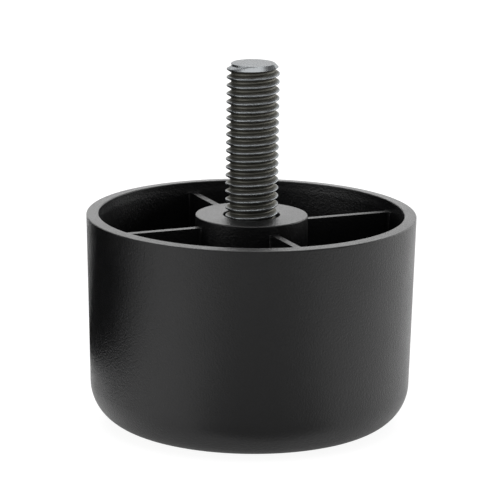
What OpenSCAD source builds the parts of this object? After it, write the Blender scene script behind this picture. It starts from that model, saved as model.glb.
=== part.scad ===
/* [Cup] */
// Diameter over the open rim
rim_d = 50; // [40:0.5:80]
// Height of the moulded cup from base to rim
body_h = 32.4; // [26:0.1:50]
// Draft of the side wall in degrees, narrowing towards the base
draft = 1.46; // [0:0.02:4]
// Radius of the rounded edge at the base
base_fillet = 6.4; // [4:0.1:9]
// Thickness of the side wall and the floor
wall_t = 2; // [1.8:0.05:3]
// Width of the flat land on top of the rim
rim_t = 1.85; // [1:0.05:2.5]
// Depth of the shallow step inside the rim
step_h = 1.2; // [0.6:0.1:4]
// Radius broken on the moulded edges
edge_r = 0.25; // [0.1:0.05:0.5]

/* [Boss] */
// Diameter of the boss at its top face
boss_d = 17; // [14:0.1:26]
// How far the boss top lies below the rim
boss_drop = 0.25; // [0.2:0.05:4]
// Thickness of the boss around the corners of the hex pocket
pocket_wall = 1.3; // [1:0.1:3]

/* [Ribs] */
// Number of ribs between boss and wall
rib_count = 4; // [3:1:6]
// Thickness of a rib
rib_t = 1.1; // [0.8:0.1:2.5]
// How far the rib tops lie below the rim
rib_drop = 1.6; // [1.3:0.1:6]
// Radius of the fillet where a rib meets the boss and the wall
rib_fillet = 0.5; // [0.2:0.1:1.5]
// Angle of the first rib from the +X axis
rib_angle = 23.6; // [0:0.1:90]

/* [Bolt] */
// Nominal diameter of the thread
bolt_d = 8; // [5:0.5:10]
// Length of the bolt under its head
bolt_l = 45; // [36:0.5:60]
// Length of the threaded stretch
thread_l = 23.35; // [12:0.05:30]
// How much smaller in radius the plain shank is than the thread
shank_step = 0.4; // [0.2:0.05:0.6]
// Chamfer at the tip of the thread
tip_chamfer = 0.75; // [0.2:0.05:1.2]
// Width of the hex head across its flats
head_af = 13; // [10:0.1:15.6]
// Height of the hex head
head_k = 5.3; // [4:0.1:7]
// Height of the round washer face under the head
washer_face_h = 0.4; // [0.2:0.1:0.8]
// How far the head lies up inside the base
recess_h = 5.1; // [1:0.1:7]

/* [Clearances] */
// Radial gap between the thread and its hole
bolt_gap = 0.3; // [0.1:0.05:0.5]
// Gap between each flat of the head and the hex pocket
head_gap = 0.1; // [0.05:0.05:0.3]

/* [Hidden] */

moulded_black = "#232427";
zinc_steel = "#b4b3ad";

round_fn = 128;     // sides drawn on a round surface
cut = 1;            // how far a cut runs past the face it opens
head_chamfer = 30;  // angle of the chamfer on the head's outer corners

rim_r = rim_d / 2;
step_z = body_h - step_h;
boss_top = body_h - boss_drop;
rib_top = body_h - rib_drop;

bearing_z = recess_h + head_k;
bolt_top = bearing_z + bolt_l;
head_corner_r = head_af / 2 / cos(30);
pocket_corner_r = (head_af / 2 + head_gap) / cos(30);
boss_root_r = max(boss_d / 2, pocket_corner_r + pocket_wall);
rib_embed = wall_t / 2;  // how far a rib runs into the wall and the floor

// Radius of the drafted side at height z, moved inwards by inset
function side_r(z, inset) = rim_r - (inset + (body_h - z) * sin(draft)) / cos(draft);

// Point where an arc of radius r, centred at c, runs into the drafted side
function side_tangent(c, r) = c + r * [cos(draft), -sin(draft)];

// Centres of the arcs at the base, the rim's outer edge and the rim's inner edge
base_arc = [side_r(base_fillet, base_fillet), base_fillet];
outer_arc = [side_r(body_h - edge_r, edge_r), body_h - edge_r];
inner_arc = [side_r(body_h - edge_r, rim_t - edge_r), body_h - edge_r];

// Half outline of the cup, moved inwards by inset all round and cut off flat at height top
module cup_outline(inset, top) {
    arc_r = base_fillet - inset;
    polygon([
        [0, inset],
        [base_arc.x, inset],
        base_arc,
        side_tangent(base_arc, arc_r),
        [side_r(top, inset), top],
        [0, top]
    ]);
    translate(base_arc) circle(r = arc_r, $fn = round_fn);
}

// Half outline of the top of the cup, with the rim's outer edge rounded
module rim_outline() {
    polygon([
        [0, step_z],
        [side_r(step_z, 0), step_z],
        side_tangent(outer_arc, edge_r),
        outer_arc,
        [outer_arc.x, body_h],
        [0, body_h]
    ]);
    translate(outer_arc) circle(r = edge_r, $fn = round_fn);
}

// Half outline of the mouth above the step, which leaves the rim's inner edge rounded
module mouth_outline() {
    difference() {
        polygon([
            [0, step_z],
            [side_r(step_z, rim_t), step_z],
            side_tangent(inner_arc, -edge_r),
            inner_arc,
            [inner_arc.x, body_h + cut],
            [0, body_h + cut]
        ]);
        translate(inner_arc) circle(r = edge_r, $fn = round_fn);
    }
}

module cup() {
    rotate_extrude($fn = round_fn) difference() {
        union() {
            cup_outline(0, step_z);
            rim_outline();
        }
        cup_outline(wall_t, step_z);
        mouth_outline();
    }
}

// Tapered boss from the floor to its flat top, which has a small round edge
module boss() {
    foot_z = rib_embed;
    taper = atan((boss_root_r - boss_d / 2) / (boss_top - foot_z));
    arc = [boss_d / 2 - edge_r * (1 - sin(taper)) / cos(taper), boss_top - edge_r];
    rotate_extrude($fn = round_fn) {
        polygon([
            [0, foot_z],
            [boss_root_r, foot_z],
            arc + edge_r * [cos(taper), sin(taper)],
            arc,
            [arc.x, boss_top],
            [0, boss_top]
        ]);
        translate(arc) circle(r = edge_r, $fn = round_fn);
    }
}

// Distance from the axis to a fillet's centre line, for an arc whose centre lies at radius r
function fillet_x(r) = sqrt(r * r - pow(rib_t / 2 + rib_fillet, 2));

// Plan of one rib along +X, widened by a fillet at each end
module rib_plan() {
    in_x = fillet_x(boss_d / 2 + rib_fillet);
    out_x = fillet_x(side_r(rib_top, wall_t) - rib_fillet);
    root_w = rib_t + 2 * rib_fillet;
    difference() {
        union() {
            translate([0, -rib_t / 2]) square([rim_r, rib_t]);
            translate([0, -root_w / 2]) square([in_x, root_w]);
            translate([out_x, -root_w / 2]) square([rim_r - out_x, root_w]);
        }
        for (x = [in_x, out_x], y = [-root_w / 2, root_w / 2])
            translate([x, y]) circle(r = rib_fillet, $fn = round_fn);
    }
}

module ribs() {
    intersection() {
        rotate_extrude($fn = round_fn) cup_outline(rib_embed, rib_top);
        for (i = [0 : rib_count - 1])
            rotate(rib_angle + i * 360 / rib_count)
                linear_extrude(height = rib_top) rib_plan();
    }
}

// Hole for the thread and the hex pocket that takes the head from below
module bolt_cut() {
    cylinder(h = body_h + cut, r = bolt_d / 2 + bolt_gap, $fn = round_fn);
    translate([0, 0, -cut]) cylinder(h = bearing_z + cut, r = pocket_corner_r, $fn = 6);
}

module foot_body() {
    color(moulded_black) difference() {
        union() {
            cup();
            boss();
            ribs();
        }
        bolt_cut();
    }
}

// Hex prism with its lower corners chamfered and a round washer face on top
module bolt_head() {
    prism_h = head_k - washer_face_h;
    flat_r = head_af / 2;
    rise = (head_corner_r - flat_r) * tan(head_chamfer);
    translate([0, 0, recess_h]) {
        intersection() {
            cylinder(h = prism_h, r = head_corner_r, $fn = 6);
            rotate_extrude($fn = round_fn) polygon([
                [0, 0],
                [flat_r, 0],
                [head_corner_r + cut, rise + cut * tan(head_chamfer)],
                [head_corner_r + cut, prism_h],
                [0, prism_h]
            ]);
        }
        translate([0, 0, prism_h]) cylinder(h = washer_face_h, r = flat_r, $fn = round_fn);
    }
}

module bolt_shank() {
    thread_r = bolt_d / 2;
    shank_r = thread_r - shank_step;
    thread_z = bolt_top - thread_l;
    rotate_extrude($fn = round_fn) polygon([
        [0, bearing_z],
        [shank_r, bearing_z],
        [shank_r, thread_z - shank_step],
        [thread_r, thread_z],
        [thread_r, bolt_top - tip_chamfer],
        [thread_r - tip_chamfer, bolt_top],
        [0, bolt_top]
    ]);
}

module hex_bolt() {
    color(zinc_steel) {
        bolt_head();
        bolt_shank();
    }
}

foot_body();
hex_bolt();
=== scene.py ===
"""A round sofa foot: a moulded black cup with a ribbed boss, and a hex bolt through the boss."""

import math

import bmesh
import bpy
from bpy.props import FloatProperty, FloatVectorProperty, IntProperty, PointerProperty
from mathutils import Matrix, Vector


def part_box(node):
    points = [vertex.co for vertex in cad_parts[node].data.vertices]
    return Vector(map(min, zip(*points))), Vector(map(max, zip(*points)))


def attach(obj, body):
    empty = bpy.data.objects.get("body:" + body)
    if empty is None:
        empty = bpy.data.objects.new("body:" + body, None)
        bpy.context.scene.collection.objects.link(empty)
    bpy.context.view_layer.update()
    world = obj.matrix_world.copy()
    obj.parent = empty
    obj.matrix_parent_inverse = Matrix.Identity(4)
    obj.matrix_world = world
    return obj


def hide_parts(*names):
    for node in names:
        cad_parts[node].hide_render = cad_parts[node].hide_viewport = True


bl_info = {
    "name": "Sofa Foot",
    "version": (1, 0, 0),
    "blender": (4, 5, 0),
    "location": "3D View > Sidebar > Sofa Foot",
    "description": "Models a moulded sofa foot with a threaded bolt, and a stage for it",
    "category": "Add Mesh",
}

MM = 0.001
TOUCH = 0.002 * MM  # points nearer than this are one point

# Straight steps that a round is drawn in.
ROUND_STEPS = 192  # a whole turn of a turned surface
THREAD_STEPS = 72  # a whole turn of the thread
BASE_STEPS = 20  # the round under the side
FLOOR_STEPS = 14  # the fillet inside it
RIB_STEPS = 6  # the fillets at a rib's ends
EDGE_STEPS = 5  # a broken edge
SMALL_STEPS = 3  # the smallest rounds
CREST_STEPS = 4  # half a root or half a crest of the thread

STEP_SLOPE = 4  # height of the slope inside the rim, over how far it stands out
FLANK = 30  # slope of the thread's sides in degrees, half of the 60 between them
OVERLAP = 0.2 * MM  # how far solids that are joined run into each other

NOISE_LOW, NOISE_HIGH = 0.35, 0.65  # most of a noise's values lie between these

ROOM_LIGHT = 0.25  # light from the walls and ceiling, where 1 is white
WHITE = (1.0, 1.0, 1.0, 1.0)
BLACK = (0.0, 0.0, 0.0, 1.0)

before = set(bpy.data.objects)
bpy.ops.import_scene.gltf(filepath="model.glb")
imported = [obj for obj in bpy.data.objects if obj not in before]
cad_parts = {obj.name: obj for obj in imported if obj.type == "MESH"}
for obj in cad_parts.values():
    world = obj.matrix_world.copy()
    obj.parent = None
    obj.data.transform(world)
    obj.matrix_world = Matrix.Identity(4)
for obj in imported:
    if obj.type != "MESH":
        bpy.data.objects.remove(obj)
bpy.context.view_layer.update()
CUP_LOW, CUP_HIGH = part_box("foot_body")
BOLT_LOW, BOLT_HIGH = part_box("hex_bolt")


def length(name, description, default):
    """A length that the user can change, in metres."""
    return FloatProperty(
        name=name, description=description, default=default, min=0.0, precision=5,
        subtype="DISTANCE", unit="LENGTH",
    )


def angle(name, description, degrees):
    """An angle that the user can change, given here in degrees."""
    return FloatProperty(
        name=name, description=description, default=math.radians(degrees),
        subtype="ANGLE", unit="ROTATION",
    )


def level(name, description, default):
    """A level from 0 to 1 that the user can change."""
    return FloatProperty(name=name, description=description, default=default, min=0.0, max=1.0)


def linear(hex_colour):
    """A colour written as sRGB hex, as linear red, green and blue."""
    channels = [int(hex_colour[i : i + 2], 16) / 255 for i in (1, 3, 5)]
    return tuple(c / 12.92 if c <= 0.04045 else ((c + 0.055) / 1.055) ** 2.4 for c in channels)


def colour(name, description, hex_colour):
    """A colour that the user can change, given here as sRGB hex."""
    return FloatVectorProperty(
        name=name, description=description, default=linear(hex_colour), size=3,
        min=0.0, max=1.0, subtype="COLOR",
    )


class CupSizes(bpy.types.PropertyGroup):
    """Sizes of the moulded cup."""

    half_width: length("Half Width", "Widest radius, at the rim", min(CUP_HIGH.x, CUP_HIGH.y))
    height: length("Height", "Base to rim", CUP_HIGH.z)
    draft: angle("Draft", "Slope of the side, narrowing to the base", 1.46)
    base_fillet: length("Base Fillet", "Radius round the base", 6.4 * MM)
    wall: length("Wall", "Thickness of the side and the floor", 2.0 * MM)
    rim_wall: length("Rim Wall", "Width of the land on the rim", 1.85 * MM)
    step: length("Step", "Depth of the thinner wall inside the rim", 1.2 * MM)
    edge: length("Edge", "Radius of the broken edges", 0.2 * MM)
    rim_fall: length("Rim Fall", "How far the rim falls away to its outer edge", 0.1 * MM)
    boss_radius: length("Boss Radius", "Radius of the boss at its top", 8.5 * MM)
    boss_root: length("Boss Root", "Radius of the boss half way through the floor", 9.04 * MM)
    boss_drop: length("Boss Drop", "Boss top below the rim", 0.25 * MM)
    hole_radius: length("Hole Radius", "Hole for the thread", 4.3 * MM)
    hole_edge: length("Hole Edge", "Radius of the hole's upper edge", 0.12 * MM)
    rib_count: IntProperty(name="Ribs", description="Ribs round the boss", default=4, min=1, max=8)
    rib: length("Rib", "Thickness of a rib", 1.1 * MM)
    rib_drop: length("Rib Drop", "Rib tops below the rim", 1.6 * MM)
    rib_fillet: length("Rib Fillet", "Radius where a rib meets the boss and the wall", 0.5 * MM)
    rib_edge: length("Rib Edge", "Radius of a rib's upper edges", 0.12 * MM)
    rib_turn: angle("Rib Turn", "Angle of the first rib from +X", 23.6)
    pocket_flats: length("Pocket Flats", "Hex pocket across its flats", 13.2 * MM)
    pocket_edge: length("Pocket Edge", "Radius of the pocket's mouth", 0.3 * MM)


class BoltSizes(bpy.types.PropertyGroup):
    """Sizes of the hex bolt."""

    radius: length("Thread Radius", "Radius over the crests", 4.0 * MM)
    pitch: length("Pitch", "Rise of the thread in one turn", 1.25 * MM)
    thread: length("Thread Length", "Length of the threaded stretch", 25.0 * MM)
    thread_turn: angle("Thread Turn", "Where the thread starts round the bolt", 35.0)
    depth: length("Thread Depth", "Crest to root", 0.7 * MM)
    crest: length("Crest Width", "Width of the crests before they are rounded", 0.18 * MM)
    crest_round: length("Crest Round", "Radius of the thread's crests", 0.12 * MM)
    tip: length("Tip Chamfer", "Chamfer at the tip", 0.75 * MM)
    tip_round: length("Tip Round", "Radius between the end face and its chamfer", 0.12 * MM)
    shank: length("Shank Radius", "Radius of the plain shank", 3.6 * MM)
    flats: length("Across Flats", "Width of the hex head", 13.0 * MM)
    head: length("Head Height", "Height of the hex head with its washer face", 5.3 * MM)
    head_edge: length("Head Edge", "Width of the head's broken edges", 0.1 * MM)
    washer: length("Washer Face", "Height of the washer face", 0.4 * MM)
    washer_inset: length("Washer Inset", "How far the face ends inside the flats", 0.2 * MM)


class PlasticFinish(bpy.types.PropertyGroup):
    """Colours and grain of the moulded plastic."""

    pigment: colour("Pigment", "Colour in the grain's hollows", "#060607")
    # Painted light: the tops of the grain are painted lighter than the pigment in its hollows.
    peak_light: colour("Peaks", "Colour on the tops of the grain", "#0b0b0d")
    grain: length("Grain", "Width of one grain of the mould's texture", 0.3 * MM)
    grain_depth: length("Grain Depth", "Height of the grain", 0.08 * MM)
    flow: length("Flow Marks", "Width of the faint patches the melt leaves", 6 * MM)


class SteelFinish(bpy.types.PropertyGroup):
    """Colours and marks of the plated steel."""

    steel: colour("Steel", "Plated steel on the crests, the head and the end", "#909395")
    edge_tint: colour("Low Angle Tint", "Tint of the steel seen at a low angle", "#c8c8c8")
    # Painted shade: a darker colour in the thread's roots, fading out towards the crests and the
    # ends.
    root_shade: colour("Film", "Dull film in the thread's roots", "#72716a")
    root_shade_depth: length("Film Depth", "How far below the crests the film is whole", 0.35 * MM)
    unshaded_depth: length("Wear Depth", "How far below the crests the film is worn away", 0.03 * MM)
    root_shade_fade: length("Film Fade", "Stretch over which the film fades out at its ends", 0.1 * MM)
    marks: length("Marks", "Width of the fine rolling and turning marks", 0.12 * MM)
    marks_depth: length("Marks Depth", "Depth of the marks", 0.045 * MM)
    marks_ring: length("Marks Ring", "Radius that sets how far the marks are drawn out", 0.8 * MM)


class StageSettings(bpy.types.PropertyGroup):
    """Camera, floor and light."""

    distance: length("Distance", "Camera in front of the foot's axis", 497 * MM)
    eye: length("Eye Height", "Camera above the floor", 145.1 * MM)
    lens: FloatProperty(
        name="Lens", description="Focal length on a 36 mm sensor", default=242.4, unit="CAMERA",
    )
    pitch: angle("Pitch", "How far the camera looks down", 13.414)
    roll: angle("Roll", "How far the camera leans to its left", 0.69)
    yaw: angle("Yaw", "How far the camera turns to its left", 0.0186)
    floor: length("Floor", "Half width of the floor", 3.0)
    floor_white: colour("Floor Colour", "Colour of the floor", "#f2f2f2")
    floor_dim: level("Floor Dim", "How much less the floor shows of the lamps' light", 0.75)
    floor_glow: level("Floor Glow", "The floor's own white where it is looked at", 0.92)
    floor_glow_reflected: level("Floor Glow Reflected", "The same where it is reflected", 0.28)


# ---------------------------------------------------------------- modelling


def deselect():
    """Leave edit mode with nothing selected."""
    if bpy.context.object and bpy.context.object.mode != "OBJECT":
        bpy.ops.object.mode_set(mode="OBJECT")
    bpy.ops.object.select_all(action="DESELECT")


def activate(piece):
    """Make one object the only one selected, and the active one."""
    deselect()
    piece.select_set(True)
    bpy.context.view_layer.objects.active = piece


def pick(kind, test):
    """In edit mode, select only the verts, edges or faces that pass a test."""
    mode = {"verts": "VERT", "edges": "EDGE", "faces": "FACE"}[kind]
    bpy.ops.mesh.select_mode(type=mode)
    bpy.ops.mesh.select_all(action="DESELECT")
    data = bpy.context.object.data
    shape = bmesh.from_edit_mesh(data)
    chosen = [part for part in getattr(shape, kind) if test(part)]
    if not chosen:
        raise RuntimeError(f"no {kind} to select on {data.name}")
    for part in chosen:
        part.select_set(True)
    shape.select_flush_mode()
    bmesh.update_edit_mesh(data)


def arc(centre, radius, start, end, steps):
    """Points on an arc from one angle to another, in degrees, both ends included."""
    turns = [math.radians(start + (end - start) * i / steps) for i in range(steps + 1)]
    return [(centre[0] + radius * math.cos(t), centre[1] + radius * math.sin(t)) for t in turns]


def draw(name, points, closed):
    """Draw an outline by extruding one vertex from point to point, and stay in edit mode.

    A closed outline gets a face.
    """
    deselect()
    bpy.ops.mesh.primitive_plane_add(size=MM)  # only a start: its corners are merged into one
    piece = bpy.context.object
    piece.name = piece.data.name = name
    bpy.ops.object.mode_set(mode="EDIT")
    bpy.ops.mesh.select_mode(type="VERT")
    bpy.ops.mesh.select_all(action="SELECT")
    bpy.ops.mesh.merge(type="CENTER")
    here = Vector(points[0])
    bpy.ops.transform.translate(value=here)
    for point in points[1:]:
        move = Vector(point) - here
        bpy.ops.mesh.extrude_region_move(TRANSFORM_OT_translate={"value": move})
        here = Vector(point)
    if closed:
        bpy.ops.mesh.select_all(action="SELECT")
        bpy.ops.mesh.edge_face_add()
    return piece


def round_edges(width, clamp):
    """In edit mode, round the selected edges, held back where they would overlap if clamped."""
    bpy.ops.mesh.bevel(
        offset=width, segments=SMALL_STEPS, profile=0.5, affect="EDGES", clamp_overlap=clamp,
    )


def turn_outwards(piece):
    """In edit mode, make the faces of a closed solid point out of it."""
    bpy.ops.mesh.select_all(action="SELECT")
    bpy.ops.mesh.normals_make_consistent(inside=False)
    if bmesh.from_edit_mesh(piece.data).calc_volume(signed=True) < 0:
        bpy.ops.mesh.flip_normals()


def lathe(name, profile):
    """Spin a profile of (radius, height) points round the Z axis into a closed solid."""
    # The seam is half a step off the X axis, so that no corner of a hexagon lies on it.
    turn = math.pi / ROUND_STEPS
    across, along = math.cos(turn), math.sin(turn)
    piece = draw(name, [(r * across, r * along, z) for r, z in profile], closed=False)
    bpy.ops.mesh.select_all(action="SELECT")
    bpy.ops.mesh.spin(
        steps=ROUND_STEPS, angle=2 * math.pi, center=(0, 0, 0), axis=(0, 0, 1), dupli=False,
    )
    bpy.ops.mesh.select_all(action="SELECT")
    bpy.ops.mesh.remove_doubles(threshold=TOUCH)
    turn_outwards(piece)
    deselect()
    return piece


def corner_radius(flats):
    """How far a hexagon's corners are from its middle, given across its flats."""
    return flats / 2 / math.cos(math.pi / 6)


def hexagon(name, flats, low, high):
    """A hexagonal prism round the Z axis with a corner on +X, given across its flats."""
    deselect()
    bpy.ops.mesh.primitive_cylinder_add(
        vertices=6,
        radius=corner_radius(flats),
        depth=high - low,
        location=(0, 0, (low + high) / 2),
        rotation=(0, 0, math.pi / 2),
    )
    piece = bpy.context.object
    piece.name = piece.data.name = name
    bpy.ops.object.transform_apply(location=True, rotation=True, scale=True)
    return piece


def combine(piece, other, operation):
    """Join, cut or intersect a piece with another solid, which is used up."""
    activate(piece)
    tool = piece.modifiers.new(operation.title(), "BOOLEAN")
    tool.operation = operation
    tool.solver = "MANIFOLD"
    tool.object = other
    bpy.ops.object.modifier_apply(modifier=tool.name)
    bpy.data.objects.remove(other)
    return piece


def finish_piece(piece, body, node, material, smooth_angle):
    """Shade a finished piece, give it its material and tie it to the frame."""
    activate(piece)
    bpy.ops.object.shade_smooth_by_angle(angle=math.radians(smooth_angle))
    weighted = piece.modifiers.new("Weighted", "WEIGHTED_NORMAL")
    weighted.keep_sharp = True
    bpy.ops.object.modifier_apply(modifier=weighted.name)
    piece.data.materials.clear()
    piece.data.materials.append(material)
    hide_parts(node)
    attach(piece, body)
    deselect()


# ---------------------------------------------------------------- the cup


class CupShape:
    """Places on the cup's section, worked out from its sizes."""

    def __init__(self, sizes):
        self.sizes = sizes
        self.slope = sizes.draft
        self.slope_degrees = math.degrees(sizes.draft)
        lean = (1 + math.sin(self.slope)) / math.cos(self.slope) - 1
        # The side's radius at the top before the edge is rounded, which takes it in.
        self.rim = sizes.half_width + sizes.edge * lean
        self.step_z = sizes.height - sizes.step
        self.boss_top = sizes.height - sizes.boss_drop
        self.rib_top = sizes.height - sizes.rib_drop
        self.base_centre = (self.side(sizes.base_fillet, sizes.base_fillet), sizes.base_fillet)

    def side(self, z, inset):
        """Radius of the drafted side at a height, moved inwards by an inset."""
        drop = (self.sizes.height - z) * math.sin(self.slope)
        return self.rim - (inset + drop) / math.cos(self.slope)

    def outside(self):
        """The base, the side and the rounded outer edge of the rim."""
        sizes = self.sizes
        high = sizes.height - sizes.rim_fall - sizes.edge
        rim_centre = (self.side(high, sizes.edge), high)
        return [
            (sizes.hole_radius, 0.0),
            *arc(self.base_centre, sizes.base_fillet, -90, -self.slope_degrees, BASE_STEPS),
            *arc(rim_centre, sizes.edge, -self.slope_degrees, 90, EDGE_STEPS),
        ]

    def inside(self):
        """The rim's rounded inner edge, the slope below it, the wall and the floor's fillet."""
        sizes = self.sizes
        high = sizes.height - sizes.edge
        rim_centre = (self.side(high, sizes.rim_wall - sizes.edge), high)
        slope_end = self.step_z - STEP_SLOPE * (sizes.wall - sizes.rim_wall)
        floor_fillet = sizes.base_fillet - sizes.wall
        return [
            *arc(rim_centre, sizes.edge, 90, 180 - self.slope_degrees, EDGE_STEPS),
            (self.side(self.step_z, sizes.rim_wall), self.step_z),
            (self.side(slope_end, sizes.wall), slope_end),
            *arc(self.base_centre, floor_fillet, -self.slope_degrees, -90, FLOOR_STEPS),
        ]

    def boss(self):
        """The tapered boss, its rounded top edge and the edge of its hole."""
        sizes = self.sizes
        foot = sizes.wall / 2  # where the taper starts, half way through the floor
        taper = math.atan((sizes.boss_root - sizes.boss_radius) / (self.boss_top - foot))
        inwards = sizes.edge * (1 - math.sin(taper)) / math.cos(taper)
        top_centre = (sizes.boss_radius - inwards, self.boss_top - sizes.edge)
        hole_centre = (sizes.hole_radius + sizes.hole_edge, self.boss_top - sizes.hole_edge)
        return [
            (sizes.boss_root - (sizes.wall - foot) * math.tan(taper), sizes.wall),
            *arc(top_centre, sizes.edge, math.degrees(taper), 90, EDGE_STEPS),
            *arc(hole_centre, sizes.hole_edge, 90, 180, SMALL_STEPS),
        ]

    def rib_limit(self):
        """The outline that the ribs are trimmed to, half way into the wall and the floor."""
        sizes = self.sizes
        inset = sizes.wall / 2
        corner = sizes.base_fillet - inset
        return [
            (0.0, inset),
            *arc(self.base_centre, corner, -90, -self.slope_degrees, FLOOR_STEPS),
            (self.side(self.rib_top, inset), self.rib_top),
            (0.0, self.rib_top),
        ]

    def rib_plan(self):
        """One rib seen from above, along +X, with a fillet at each corner."""
        sizes = self.sizes
        root = sizes.rib / 2 + sizes.rib_fillet
        near = math.sqrt((sizes.boss_radius + sizes.rib_fillet) ** 2 - root**2)
        far = math.sqrt((self.side(self.rib_top, sizes.wall) - sizes.rib_fillet) ** 2 - root**2)
        start = (sizes.hole_radius + sizes.boss_radius) / 2
        upper = [
            (start, root),
            *arc((near, root), sizes.rib_fillet, 180, 270, RIB_STEPS),
            *arc((far, root), sizes.rib_fillet, 270, 360, RIB_STEPS),
            (self.rim, root),
        ]
        return upper + [(x, -y) for x, y in reversed(upper)]


def make_ribs(shape):
    """The ribs as one mesh, trimmed to the cup and with rounded upper edges."""
    sizes = shape.sizes
    rib = draw("rib", [(x, y, 0.0) for x, y in shape.rib_plan()], closed=True)
    bpy.ops.mesh.select_all(action="SELECT")
    well_above = (0, 0, shape.rib_top * 2)
    bpy.ops.mesh.extrude_region_move(TRANSFORM_OT_translate={"value": well_above})
    turn_outwards(rib)
    deselect()
    combine(rib, lathe("limit", shape.rib_limit()), "INTERSECT")
    activate(rib)
    bpy.ops.object.mode_set(mode="EDIT")
    top = shape.rib_top - TOUCH
    pick("edges", lambda edge: all(v.co.z > top for v in edge.verts))
    round_edges(sizes.rib_edge, clamp=True)
    deselect()
    copies = []
    for i in range(sizes.rib_count):
        copy = bpy.data.objects.new(f"rib_{i}", rib.data.copy())
        bpy.context.collection.objects.link(copy)
        copy.rotation_euler.z = sizes.rib_turn + 2 * math.pi * i / sizes.rib_count
        copies.append(copy)
    bpy.data.objects.remove(rib)
    for copy in copies:
        copy.select_set(True)
    bpy.context.view_layer.objects.active = copies[0]
    bpy.ops.object.transform_apply(location=True, rotation=True, scale=True)
    bpy.ops.object.join()
    return bpy.context.object


def cut_pocket(cup, sizes, depth):
    """Cut the hex pocket for the bolt's head and round its mouth."""
    cutter = hexagon("pocket", sizes.pocket_flats, -sizes.wall, depth)
    combine(cup, cutter, "DIFFERENCE")
    reach = corner_radius(sizes.pocket_flats) + TOUCH  # just past the corners
    activate(cup)
    bpy.ops.object.mode_set(mode="EDIT")

    def at_mouth(edge):
        return all(abs(v.co.z) < TOUCH and v.co.length < reach for v in edge.verts)

    pick("edges", at_mouth)
    round_edges(sizes.pocket_edge, clamp=False)
    deselect()


class SOFAFOOT_OT_cup(bpy.types.Operator):
    """Model the moulded cup with its boss, ribs and hex pocket"""

    bl_idname = "sofafoot.cup"
    bl_label = "Moulded Cup"

    def execute(self, context):
        sizes = context.scene.sofafoot_cup
        shape = CupShape(sizes)
        section = shape.outside() + shape.inside() + shape.boss()
        cup = lathe("moulded_cup", section + section[:1])
        combine(cup, make_ribs(shape), "UNION")
        head = context.scene.sofafoot_bolt.head
        cut_pocket(cup, sizes, BOLT_LOW.z + head)
        finish_piece(
            cup, "root", "foot_body", moulded_plastic(), smooth_angle=30,
        )
        return {"FINISHED"}


# ---------------------------------------------------------------- the bolt


def thread_profile(sizes):
    """One pitch of a rolled thread, as (radius, height) points from root to root."""
    pitch = sizes.pitch
    corner = (pitch - sizes.crest) / 2  # height at which a side meets the crest, before rounding
    slope = math.radians(FLANK)
    to_flank = 90 - FLANK
    # The root is the round that touches both sides and is as deep as the thread.
    root_round = corner * math.cos(slope) - sizes.depth * math.sin(slope)
    root_round /= 1 - math.sin(slope)
    root_centre = (sizes.radius - sizes.depth + root_round, 0.0)
    root = arc(root_centre, root_round, 180, 180 - to_flank, CREST_STEPS)
    rise = sizes.crest_round * math.tan(math.radians(to_flank / 2))
    crest_centre = (sizes.radius - sizes.crest_round, corner + rise)
    crest = arc(crest_centre, sizes.crest_round, -to_flank, 0, CREST_STEPS)
    half = root + crest
    return half + [(r, pitch - z) for r, z in reversed(half)]


def close_end(point, middle):
    """In edit mode, draw an open end of the thread's skin together to a point on the axis.

    Both numbers are heights. The end is the one on the same side of the middle as the point.
    """

    def open_edge(edge):
        height = (edge.verts[0].co.z + edge.verts[1].co.z) / 2
        return edge.is_boundary and (height < middle) == (point < middle)

    pick("edges", open_edge)
    bpy.ops.mesh.extrude_edges_move(TRANSFORM_OT_translate={"value": (0, 0, 0)})
    bpy.ops.mesh.select_mode(type="VERT")
    bpy.ops.mesh.merge(type="CENTER")
    shape = bmesh.from_edit_mesh(bpy.context.object.data)
    apex = next(v for v in shape.verts if v.select)
    bpy.ops.transform.translate(value=Vector((0, 0, point)) - apex.co)


def make_thread(sizes, low, high):
    """The helical thread between two heights, cut to the bolt's chamfered outline."""
    # The skin runs past both ends, closes to a point beyond each, and is then cut to length.
    turns = math.ceil((high - low) / sizes.pitch) + 3
    start = low - 1.5 * sizes.pitch
    thread = draw("thread", [(r, 0.0, start + z) for r, z in thread_profile(sizes)], closed=False)
    deselect()
    activate(thread)
    screw = thread.modifiers.new("Screw", "SCREW")
    screw.axis = "Z"
    screw.angle = 2 * math.pi
    screw.screw_offset = sizes.pitch
    screw.iterations = turns
    screw.steps = screw.render_steps = THREAD_STEPS
    screw.use_merge_vertices = True
    screw.merge_threshold = TOUCH
    bpy.ops.object.modifier_apply(modifier=screw.name)
    bpy.ops.object.mode_set(mode="EDIT")
    bpy.ops.mesh.select_all(action="SELECT")
    bpy.ops.mesh.remove_doubles(threshold=TOUCH)
    middle = (low + high) / 2
    close_end(start - 2 * sizes.pitch, middle)
    close_end(start + (turns + 3) * sizes.pitch, middle)
    turn_outwards(thread)
    deselect()
    over = sizes.radius + 10 * TOUCH  # clear of the crests, which it leaves uncut
    chamfer = 45
    flat = sizes.radius - sizes.tip - sizes.tip_round * math.tan(math.radians(chamfer / 2))
    blank = [
        (0.0, low),
        (over, low),
        (over, high - sizes.tip - (over - sizes.radius)),
        *arc((flat, high - sizes.tip_round), sizes.tip_round, chamfer, 90, EDGE_STEPS),
        (0.0, high),
    ]
    combine(thread, lathe("blank", blank), "INTERSECT")
    thread.rotation_euler.z = sizes.thread_turn
    activate(thread)
    bpy.ops.object.transform_apply(location=True, rotation=True, scale=True)
    return thread


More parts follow.
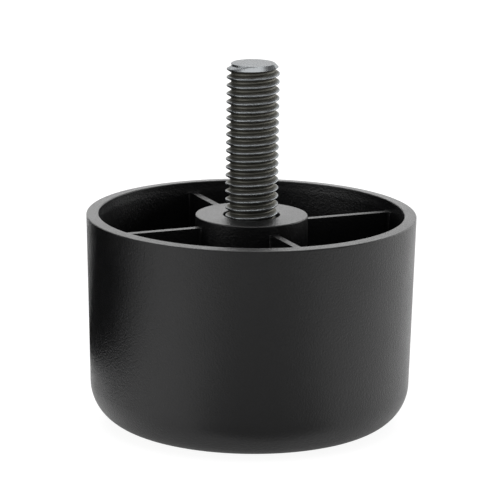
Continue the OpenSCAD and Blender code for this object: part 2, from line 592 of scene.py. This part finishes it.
def make_head(sizes, low):
    """The hex head with its chamfered outer corners."""
    top = low + sizes.head - sizes.washer
    spare = 1 * MM  # how far the solids run past each other, so that none of their faces meet
    head = hexagon("head", sizes.flats, low - spare, top)
    flat = sizes.flats / 2
    reach = corner_radius(sizes.flats) + spare
    rise = (reach - flat) * math.tan(math.radians(30))  # the usual chamfer on a head's corners
    cone = [(0.0, low), (flat, low), (reach, low + rise), (reach, top + spare), (0.0, top + spare)]
    combine(head, lathe("cone", cone), "INTERSECT")
    soften = head.modifiers.new("Bevel", "BEVEL")
    soften.width = sizes.head_edge
    soften.segments = 2
    soften.limit_method = "ANGLE"
    soften.angle_limit = math.radians(20)
    activate(head)
    bpy.ops.object.modifier_apply(modifier=soften.name)
    return head


class SOFAFOOT_OT_bolt(bpy.types.Operator):
    """Model the hex bolt with its real helical thread"""

    bl_idname = "sofafoot.bolt"
    bl_label = "Hex Bolt"

    def execute(self, context):
        sizes = context.scene.sofafoot_bolt
        thread_low = BOLT_HIGH.z - sizes.thread
        bearing = BOLT_LOW.z + sizes.head
        washer_radius = sizes.flats / 2 - sizes.washer_inset
        washer_low = bearing - sizes.washer - OVERLAP
        core = sizes.radius * 0.7  # well inside the thread's roots
        shank = [
            (0.0, washer_low),
            (washer_radius, washer_low),
            (washer_radius, bearing),
            (sizes.shank, bearing),
            (sizes.shank, thread_low),
            (core, thread_low + OVERLAP),
            (core, thread_low + sizes.pitch),
            (0.0, thread_low + sizes.pitch),
        ]
        bolt = lathe("threaded_bolt", shank)
        combine(bolt, make_head(sizes, BOLT_LOW.z), "UNION")
        combine(bolt, make_thread(sizes, thread_low - OVERLAP, BOLT_HIGH.z), "UNION")
        finish_piece(
            bolt, "root", "hex_bolt", zinc_plated_steel(), smooth_angle=35,
        )
        return {"FINISHED"}


# ---------------------------------------------------------------- materials


def add_node(tree, kind, inputs=None, **settings):
    """Add a node with its own settings, and give its inputs values or links."""
    node = tree.nodes.new(kind)
    for name, value in settings.items():
        setattr(node, name, value)
    for name, value in (inputs or {}).items():
        if isinstance(value, bpy.types.NodeSocket):
            tree.links.new(value, node.inputs[name])
        else:
            node.inputs[name].default_value = value
    return node


def new_material(name):
    """A material with an empty node tree, and that tree."""
    material = bpy.data.materials.new(name)
    material.use_nodes = True
    material.node_tree.nodes.clear()
    return material, material.node_tree


def paint(rgb):
    """A linear colour with full alpha, as a colour socket takes it."""
    return (*rgb, 1.0)


def moulded_plastic():
    """Black polypropylene, injection moulded in a spark-eroded mould.

    It gives the eye an almost black surface with a fine matt grain, glossy only at a low angle.
    """
    finish = bpy.context.scene.sofafoot_plastic
    material, tree = new_material("moulded_black_polypropylene")
    place = add_node(tree, "ShaderNodeTexCoord").outputs["Object"]
    # Real grains are about 0.05 mm wide, too fine to show, so they are drawn six times coarser.
    grain = add_node(
        tree, "ShaderNodeTexNoise",
        {"Vector": place, "Scale": 1 / finish.grain, "Detail": 3.0, "Roughness": 0.65},
    ).outputs["Fac"]
    # The grain's tops are painted lighter than its hollows, as painted light and shade of the grain
    # on top of its bump.
    peak_light_mask = add_node(
        tree, "ShaderNodeMapRange", {"Value": grain, "From Min": NOISE_LOW, "From Max": NOISE_HIGH},
    )
    # The pigment in the hollows, with painted light on the grain's tops.
    pigment = add_node(
        tree, "ShaderNodeMix",
        {"Factor": peak_light_mask.outputs["Result"], "A": paint(finish.pigment), "B": paint(finish.peak_light)},
        data_type="RGBA",
    )
    bump = add_node(
        tree, "ShaderNodeBump", {"Height": grain, "Strength": 1.0, "Distance": finish.grain_depth},
    )
    # The melt leaves faint patches that are a little more or less glossy.
    flow = add_node(
        tree, "ShaderNodeTexNoise", {"Vector": place, "Scale": 1 / finish.flow, "Detail": 2.0},
    ).outputs["Fac"]
    rough = add_node(
        tree, "ShaderNodeMapRange",
        {
            "Value": flow,
            "From Min": NOISE_LOW,
            "From Max": NOISE_HIGH,
            "To Min": 0.31,
            "To Max": 0.35,
        },
    )
    shader = add_node(
        tree, "ShaderNodeBsdfPrincipled",
        {
            "Base Color": pigment.outputs["Result"],
            "Roughness": rough.outputs["Result"],
            "IOR": 1.49,
            "Normal": bump.outputs["Normal"],
        },
    )
    add_node(tree, "ShaderNodeOutputMaterial", {"Surface": shader.outputs["BSDF"]})
    return material


def zinc_plated_steel():
    """Zinc-plated steel with a rolled thread.

    It gives the eye bright lines on the crests and a bright end, with painted shade in the roots.
    """
    finish = bpy.context.scene.sofafoot_steel
    sizes = bpy.context.scene.sofafoot_bolt
    material, tree = new_material("zinc_plated_steel")
    place = add_node(tree, "ShaderNodeTexCoord").outputs["Object"]
    up = add_node(tree, "ShaderNodeSeparateXYZ", {"Vector": place}).outputs["Z"]
    flat = add_node(
        tree, "ShaderNodeVectorMath", {0: place, 1: (1.0, 1.0, 0.0)}, operation="MULTIPLY",
    ).outputs["Vector"]
    radius = add_node(
        tree, "ShaderNodeVectorMath", {0: flat}, operation="LENGTH",
    ).outputs["Value"]

    # Painted shade: the thread's roots are painted darker than its crests. The painted shade lies
    # only between the head and the end's chamfer.
    crests = add_node(
        tree, "ShaderNodeMapRange",
        {
            "Value": radius,
            "From Min": sizes.radius - finish.root_shade_depth,
            "From Max": sizes.radius - finish.unshaded_depth,
        },
    )
    low = BOLT_LOW.z + sizes.head
    high = BOLT_HIGH.z - sizes.tip
    from_middle = add_node(
        tree, "ShaderNodeMath", {0: up, 1: (low + high) / 2}, operation="SUBTRACT",
    ).outputs["Value"]
    away = add_node(tree, "ShaderNodeMath", {0: from_middle}, operation="ABSOLUTE").outputs["Value"]
    root_shade_end = (high - low) / 2
    ends = add_node(
        tree, "ShaderNodeMapRange",
        {"Value": away, "From Min": root_shade_end - finish.root_shade_fade, "From Max": root_shade_end},
    )
    bright = add_node(
        tree, "ShaderNodeMath",
        {0: crests.outputs["Result"], 1: ends.outputs["Result"]},
        operation="MAXIMUM",
    ).outputs["Value"]
    # Painted shade in the roots, and plain steel on the crests, the head and the end.
    tone = add_node(
        tree, "ShaderNodeMix",
        {"Factor": bright, "A": paint(finish.root_shade), "B": paint(finish.steel)},
        data_type="RGBA",
    )

    # Rolling draws its marks out round the bolt. The noise is read at each point's direction on
    # a small ring, so it changes slowly round the bolt and fast up it. The radius is added to
    # the height, so that the marks are rings on the flat ends, as turning leaves. Real marks
    # are a few hundredths of a millimetre wide, too fine to show, so they are drawn coarser.
    direction = add_node(
        tree, "ShaderNodeVectorMath", {0: flat}, operation="NORMALIZE",
    ).outputs["Vector"]
    ring = add_node(
        tree, "ShaderNodeVectorMath", {0: direction, "Scale": finish.marks_ring},
        operation="SCALE",
    ).outputs["Vector"]
    climb = add_node(tree, "ShaderNodeMath", {0: up, 1: radius}, operation="ADD").outputs["Value"]
    column = add_node(tree, "ShaderNodeCombineXYZ", {"Z": climb}).outputs["Vector"]
    drawn_out = add_node(
        tree, "ShaderNodeVectorMath", {0: column, 1: ring}, operation="ADD",
    ).outputs["Vector"]
    marks = add_node(
        tree, "ShaderNodeTexNoise", {"Vector": drawn_out, "Scale": 1 / finish.marks, "Detail": 3.0},
    ).outputs["Fac"]

    burnish = add_node(
        tree, "ShaderNodeMapRange", {"Value": bright, "To Min": 0.5, "To Max": 0.22},
    ).outputs["Result"]
    streaks = add_node(
        tree, "ShaderNodeMapRange", {"Value": marks, "To Min": -0.1, "To Max": 0.16},
    ).outputs["Result"]
    rough = add_node(tree, "ShaderNodeMath", {0: burnish, 1: streaks}, operation="ADD")
    bump = add_node(
        tree, "ShaderNodeBump", {"Height": marks, "Strength": 1.0, "Distance": finish.marks_depth},
    )
    shader = add_node(
        tree, "ShaderNodeBsdfPrincipled",
        {
            "Base Color": tone.outputs["Result"],
            "Metallic": 1.0,
            "Specular Tint": paint(finish.edge_tint),
            "Roughness": rough.outputs["Value"],
            "Normal": bump.outputs["Normal"],
        },
    )
    add_node(tree, "ShaderNodeOutputMaterial", {"Surface": shader.outputs["BSDF"]})
    return material


# ---------------------------------------------------------------- the stage


def any_ray(tree, *kinds):
    """An output that is 1 on rays of any of these kinds, and 0 on others."""
    path = add_node(tree, "ShaderNodeLightPath")
    found = path.outputs[kinds[0]]
    for kind in kinds[1:]:
        found = add_node(
            tree, "ShaderNodeMath", {0: found, 1: path.outputs[kind]}, operation="MAXIMUM",
        ).outputs["Value"]
    return found


def floor_paint(settings):
    """White paper that stays white where it is looked at, but for the foot's soft shadow."""
    material, tree = new_material("white_paper_sweep")
    looked_at = any_ray(tree, "Is Camera Ray")
    reflected = any_ray(tree, "Is Glossy Ray", "Is Transmission Ray")
    paper = add_node(tree, "ShaderNodeBsdfDiffuse", {"Color": paint(settings.floor_white)})
    black = add_node(tree, "ShaderNodeBsdfDiffuse", {"Color": BLACK})
    dim = add_node(
        tree, "ShaderNodeMath", {0: looked_at, 1: settings.floor_dim}, operation="MULTIPLY",
    )
    dimmed = add_node(
        tree, "ShaderNodeMixShader",
        {0: dim.outputs["Value"], 1: paper.outputs["BSDF"], 2: black.outputs["BSDF"]},
    )
    glow_reflected = add_node(
        tree, "ShaderNodeMath", {0: reflected, 1: settings.floor_glow_reflected},
        operation="MULTIPLY",
    )
    glow_level = add_node(
        tree, "ShaderNodeMath",
        {0: looked_at, 1: settings.floor_glow, 2: glow_reflected.outputs["Value"]},
        operation="MULTIPLY_ADD",
    )
    glow = add_node(tree, "ShaderNodeEmission", {"Strength": glow_level.outputs["Value"]})
    lit = add_node(
        tree, "ShaderNodeAddShader", {0: dimmed.outputs["Shader"], 1: glow.outputs["Emission"]},
    )
    # The floor is clear from below, so that the underside can be looked at.
    back = add_node(tree, "ShaderNodeNewGeometry").outputs["Backfacing"]
    clear = add_node(tree, "ShaderNodeBsdfTransparent")
    one_sided = add_node(
        tree, "ShaderNodeMixShader", {0: back, 1: lit.outputs["Shader"], 2: clear.outputs["BSDF"]},
    )
    add_node(tree, "ShaderNodeOutputMaterial", {"Surface": one_sided.outputs["Shader"]})
    return material


def make_floor(settings):
    """A wide level floor under the foot."""
    deselect()
    bpy.ops.mesh.primitive_plane_add(size=2 * settings.floor, location=(0, 0, 0))
    floor = bpy.context.object
    floor.name = "floor"
    floor.data.materials.append(floor_paint(settings))


def make_world():
    """Even studio light, white where it is looked at, straight or in a reflection."""
    world = bpy.data.worlds.new("studio")
    bpy.context.scene.world = world
    world.use_nodes = True
    tree = world.node_tree
    tree.nodes.clear()
    room = add_node(tree, "ShaderNodeBackground", {"Color": WHITE, "Strength": ROOM_LIGHT})
    white = add_node(tree, "ShaderNodeBackground", {"Color": WHITE, "Strength": 1.0})
    seen = any_ray(tree, "Is Camera Ray", "Is Glossy Ray", "Is Transmission Ray")
    mixed = add_node(
        tree, "ShaderNodeMixShader",
        {0: seen, 1: room.outputs["Background"], 2: white.outputs["Background"]},
    )
    add_node(tree, "ShaderNodeOutputWorld", {"Surface": mixed.outputs["Shader"]})


def only_reflected(thing):
    """Hide a thing from everything but reflections."""
    thing.visible_camera = thing.visible_diffuse = thing.visible_shadow = False


def make_walls(radius, opening, opening_top):
    """Grey walls and ceiling for reflections only, open to the white backdrop behind the foot.

    The opening runs this many degrees to each side, and up to this many above the floor.
    """
    deselect()
    bpy.ops.mesh.primitive_uv_sphere_add(segments=72, ring_count=36, radius=radius)
    walls = bpy.context.object
    walls.name = walls.data.name = "grey_walls"

    def open_side(face):
        centre = face.calc_center_median().normalized()
        behind = abs(math.degrees(math.atan2(centre.x, centre.y))) < opening
        return centre.z < 0 or (behind and math.degrees(math.asin(centre.z)) < opening_top)

    bpy.ops.object.mode_set(mode="EDIT")
    pick("faces", open_side)
    bpy.ops.mesh.delete(type="FACE")
    deselect()
    material, tree = new_material("grey_wall_paint")
    glow = add_node(tree, "ShaderNodeEmission", {"Color": WHITE, "Strength": ROOM_LIGHT})
    add_node(tree, "ShaderNodeOutputMaterial", {"Surface": glow.outputs["Emission"]})
    material.cycles.emission_sampling = "NONE"  # it lights nothing
    walls.data.materials.append(material)
    only_reflected(walls)


def outward(azimuth, elevation):
    """A direction from the foot; azimuth 0 is in front of it and 90 to its right, in degrees."""
    around, up = math.radians(azimuth), math.radians(elevation)
    return Vector((math.sin(around) * math.cos(up), -math.cos(around) * math.cos(up), math.sin(up)))


def add_softbox(name, azimuth, elevation, width, height, radiance, distance=1.0):
    """A soft rectangular lamp that faces the foot, where a radiance of 1 is white."""
    out = outward(azimuth, elevation)
    light = bpy.data.lights.new(name, "AREA")
    light.shape = "RECTANGLE"
    light.size, light.size_y = width, height
    light.energy = radiance * 4 * width * height  # watts that give an area lamp that radiance
    lamp = bpy.data.objects.new(name, light)
    bpy.context.scene.collection.objects.link(lamp)
    lamp.location = Vector((0, 0, CUP_HIGH.z / 2)) + out * distance
    lamp.rotation_mode = "QUATERNION"
    lamp.rotation_quaternion = out.to_track_quat("Z", "Y")
    lamp.visible_camera = False


def add_flag(name, grey, azimuth, near, near_width, far, far_width, height):
    """A card for reflections only, lying out from the foot and turned up at its far end.

    It runs from near to far along the floor, widening as it goes, and is height tall there.
    """
    deselect()
    bpy.ops.mesh.primitive_plane_add(size=1.0)
    flag = bpy.context.object
    flag.name = flag.data.name = name
    lift = 0.2 * MM  # clear of the floor
    bpy.ops.object.mode_set(mode="EDIT")
    bpy.ops.mesh.select_all(action="SELECT")
    bpy.ops.transform.resize(value=(near_width, far - near, 1.0), center_override=(0, 0, 0))
    bpy.ops.transform.translate(value=(0, -(near + far) / 2, lift))
    pick("edges", lambda edge: all(v.co.y < -far + TOUCH for v in edge.verts))
    bpy.ops.transform.resize(value=(far_width / near_width, 1.0, 1.0), center_override=(0, 0, 0))
    bpy.ops.mesh.extrude_region_move(TRANSFORM_OT_translate={"value": (0, 0, height)})
    deselect()
    activate(flag)
    flag.rotation_euler.z = math.radians(azimuth)
    bpy.ops.object.transform_apply(location=True, rotation=True, scale=True)
    material, tree = new_material(f"{name}_card")
    card = add_node(tree, "ShaderNodeBsdfDiffuse", {"Color": paint(linear(grey))})
    add_node(tree, "ShaderNodeOutputMaterial", {"Surface": card.outputs["BSDF"]})
    flag.data.materials.append(material)
    only_reflected(flag)


def make_camera(settings):
    """A long lens in front of the foot, looking down on its rim."""
    data = bpy.data.cameras.new("camera")
    data.sensor_width = 36.0  # millimetres
    data.lens = settings.lens
    data.clip_start, data.clip_end = 0.01, 20.0
    camera = bpy.data.objects.new("camera", data)
    bpy.context.scene.collection.objects.link(camera)
    turn = (
        Matrix.Rotation(settings.yaw, 3, "Z")
        @ Matrix.Rotation(math.pi / 2 - settings.pitch, 3, "X")
        @ Matrix.Rotation(settings.roll, 3, "Z")
    )
    camera.location = (0, -settings.distance, settings.eye)
    camera.rotation_euler = turn.to_euler()
    bpy.context.scene.camera = camera


class SOFAFOOT_OT_stage(bpy.types.Operator):
    """Set up the floor, the light and the camera"""

    bl_idname = "sofafoot.stage"
    bl_label = "Stage"

    def execute(self, context):
        settings = context.scene.sofafoot_stage
        context.scene.view_settings.view_transform = "Standard"
        make_floor(settings)
        make_world()
        make_walls(radius=1.6, opening=32, opening_top=30)
        add_softbox("left_softbox", -66, 15, width=0.85, height=0.45, radiance=1.3)
        add_softbox("right_softbox", 122, 15, width=1.1, height=0.45, radiance=1.8)
        add_softbox("back_softbox", 183, 15, width=1.1, height=0.45, radiance=0.42)
        add_softbox("top_softbox", 0, 80, width=1.1, height=0.9, radiance=1.2)
        add_softbox("back_top_softbox", 183, 45, width=0.9, height=0.5, radiance=2.0)
        # One card gives the side its dark left band. The other dims the floor's reflection in
        # the front of the base.
        add_flag(
            "left_flag", "#191919", azimuth=-111.5,
            near=0.043, near_width=0.06, far=0.5, far_width=0.69, height=0.12,
        )
        add_flag(
            "front_flag", "#d0d0d0", azimuth=8,
            near=0.025, near_width=0.03, far=0.16, far_width=0.19, height=0.005,
        )
        make_camera(settings)
        return {"FINISHED"}


# ---------------------------------------------------------------- the add-on


class SOFAFOOT_PT_panel(bpy.types.Panel):
    """Buttons and sizes for the sofa foot."""

    bl_idname = "SOFAFOOT_PT_panel"
    bl_label = "Sofa Foot"
    bl_space_type = "VIEW_3D"
    bl_region_type = "UI"
    bl_category = "Sofa Foot"

    def draw(self, context):
        for operator, groups in PANEL_ROWS:
            self.layout.operator(operator.bl_idname)
            for group in groups:
                settings = getattr(context.scene, group)
                for name in settings.__annotations__:
                    self.layout.prop(settings, name)


GROUPS = {
    "sofafoot_stage": StageSettings,
    "sofafoot_cup": CupSizes,
    "sofafoot_plastic": PlasticFinish,
    "sofafoot_bolt": BoltSizes,
    "sofafoot_steel": SteelFinish,
}
PANEL_ROWS = (
    (SOFAFOOT_OT_stage, ("sofafoot_stage",)),
    (SOFAFOOT_OT_cup, ("sofafoot_cup", "sofafoot_plastic")),
    (SOFAFOOT_OT_bolt, ("sofafoot_bolt", "sofafoot_steel")),
)
CLASSES = (*GROUPS.values(), *(operator for operator, _ in PANEL_ROWS), SOFAFOOT_PT_panel)


def register():
    """Register the classes and attach their settings to the scene."""
    for item in CLASSES:
        bpy.utils.register_class(item)
    for name, group in GROUPS.items():
        setattr(bpy.types.Scene, name, PointerProperty(type=group))


def unregister():
    """Take the settings off the scene and unregister the classes."""
    for name in GROUPS:
        delattr(bpy.types.Scene, name)
    for item in reversed(CLASSES):
        bpy.utils.unregister_class(item)


def main():
    """Build the foot and its stage."""
    register()
    bpy.ops.sofafoot.stage()
    bpy.ops.sofafoot.cup()
    bpy.ops.sofafoot.bolt()


if __name__ == "__main__":
    main()
